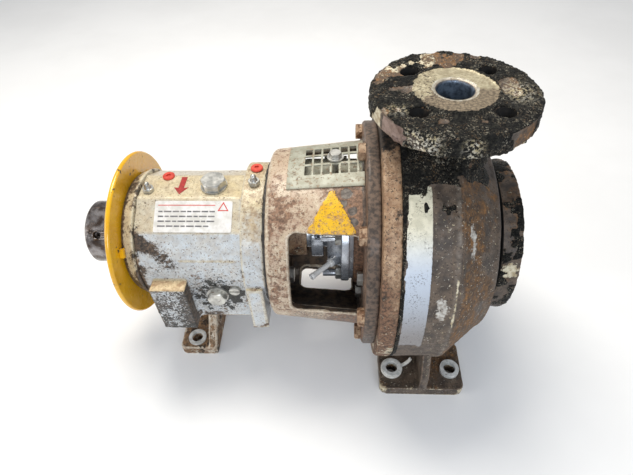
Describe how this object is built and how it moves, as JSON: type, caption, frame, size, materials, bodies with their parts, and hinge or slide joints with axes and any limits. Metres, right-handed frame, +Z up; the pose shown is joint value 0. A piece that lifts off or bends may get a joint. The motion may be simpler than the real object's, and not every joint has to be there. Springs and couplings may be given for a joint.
{
  "type": "end suction circulation pump",
  "caption": "Long-coupled end-suction circulation pump: volute casing with top discharge, lantern, shaft seal and bearing housing with a bare coupling hub.",
  "frame": {"origin": "centre of the casing feet's four holes on the base plane, directly under the discharge flange", "axes": "+X along the shaft towards the suction flange, +Z up towards the discharge flange, +Y to the far side"},
  "size_m": [0.465, 0.276, 0.34],
  "materials": {
    "casing_iron": "burnt, rusted and crusted cast metal",
    "cover_paint": "painted metal, rust stained",
    "lantern_paint": "old cream paint, stained",
    "housing_paint": "cream paint, chipped and splashed",
    "guard_paint": "glossy yellow paint",
    "mesh_metal": "grey green coated sheet",
    "zinc_fasteners": "dull zinc plating",
    "rusty_fasteners": "rusty steel",
    "stainless": "machined stainless steel",
    "bearing_steel": "ground bearing steel",
    "cage_brass": "machined brass",
    "dark_steel": "dark oiled steel",
    "seal_carbon": "carbon and silicon carbide seal faces",
    "impeller_iron": "cast impeller",
    "black_rubber": "matt rubber and gasket sheet",
    "red_plastic": "red plastic",
    "white_plastic": "white nylon",
    "label_film": "white printed film with plain bars",
    "warning_film": "yellow film, worn",
    "arrow_film": "red film"
  },
  "bodies": {
    "pump_body": {"volute_casing": "casing_iron", "casing_wear_ring": "stainless", "casing_cover": "cover_paint", "casing_gasket": "black_rubber", "casing_drain_plug": "rusty_fasteners", "frame_adapter": "lantern_paint", "adapter_bolts": "rusty_fasteners", "cover_screws": "zinc_fasteners", "mesh_guard": "mesh_metal", "mesh_guard_bolt": "zinc_fasteners", "mesh_clamp_bar": "mesh_metal", "seal_gland": "stainless", "gland_studs": "stainless", "gland_nuts": "zinc_fasteners", "quench_pipe": "stainless", "seal_stationary_ring": "seal_carbon", "bearing_housing": "housing_paint", "frame_gasket": "black_rubber", "frame_bolts": "zinc_fasteners", "drive_bearing_cover": "housing_paint", "drive_cover_screws": "dark_steel", "pump_bearing_cover": "cover_paint", "pump_cover_screws": "zinc_fasteners", "drive_bearing_outer_races": "bearing_steel", "pump_bearing_outer_race": "bearing_steel", "drive_shaft_seal": "black_rubber", "pump_shaft_seal": "black_rubber", "oil_filler_plug": "zinc_fasteners", "oil_side_plug": "zinc_fasteners", "oil_level_plug": "zinc_fasteners", "grease_nipples": "zinc_fasteners", "red_caps": "red_plastic", "support_foot": "housing_paint", "support_foot_bolts": "zinc_fasteners", "foot_collars": "zinc_fasteners", "cable_tie": "white_plastic", "guard_plate": "guard_paint", "guard_plate_screws": "zinc_fasteners", "guard_plate_clips": "guard_paint", "label_plate": "label_film", "warning_sticker": "warning_film", "rotation_arrow": "arrow_film"},
    "rotor": {"pump_shaft": "stainless", "coupling_key": "dark_steel", "coupling_hub": "dark_steel", "hub_set_screw": "dark_steel", "shaft_sleeve": "stainless", "seal_drive_collar": "stainless", "seal_rotating_ring": "seal_carbon", "seal_spring": "stainless", "impeller": "impeller_iron", "impeller_key": "dark_steel", "impeller_nut": "stainless", "drive_bearing_inner_races": "bearing_steel", "pump_bearing_inner_race": "bearing_steel", "bearing_lock_nut": "dark_steel"},
    "drive_bearing_set": {"drive_bearing_balls": "bearing_steel", "drive_bearing_cages": "cage_brass"},
    "pump_bearing_set": {"pump_bearing_rollers": "bearing_steel", "pump_bearing_cage": "cage_brass"}
  },
  "joints": [
    {"name": "shaft_spin", "type": "hinge", "parent": "pump_body", "child": "rotor", "pos_m": [0, 0, 0.16], "axis": [1, 0, 0], "continuous": true},
    {"name": "drive_cage_spin", "type": "hinge", "parent": "pump_body", "child": "drive_bearing_set", "pos_m": [-0.285, 0, 0.16], "axis": [1, 0, 0], "continuous": true},
    {"name": "pump_cage_spin", "type": "hinge", "parent": "pump_body", "child": "pump_bearing_set", "pos_m": [-0.1945, 0, 0.16], "axis": [1, 0, 0], "continuous": true}
  ],
  "couplings": [
    {"joint": "drive_cage_spin", "follows": "shaft_spin", "ratio": 0.383},
    {"joint": "pump_cage_spin", "follows": "shaft_spin", "ratio": 0.404}
  ]
}
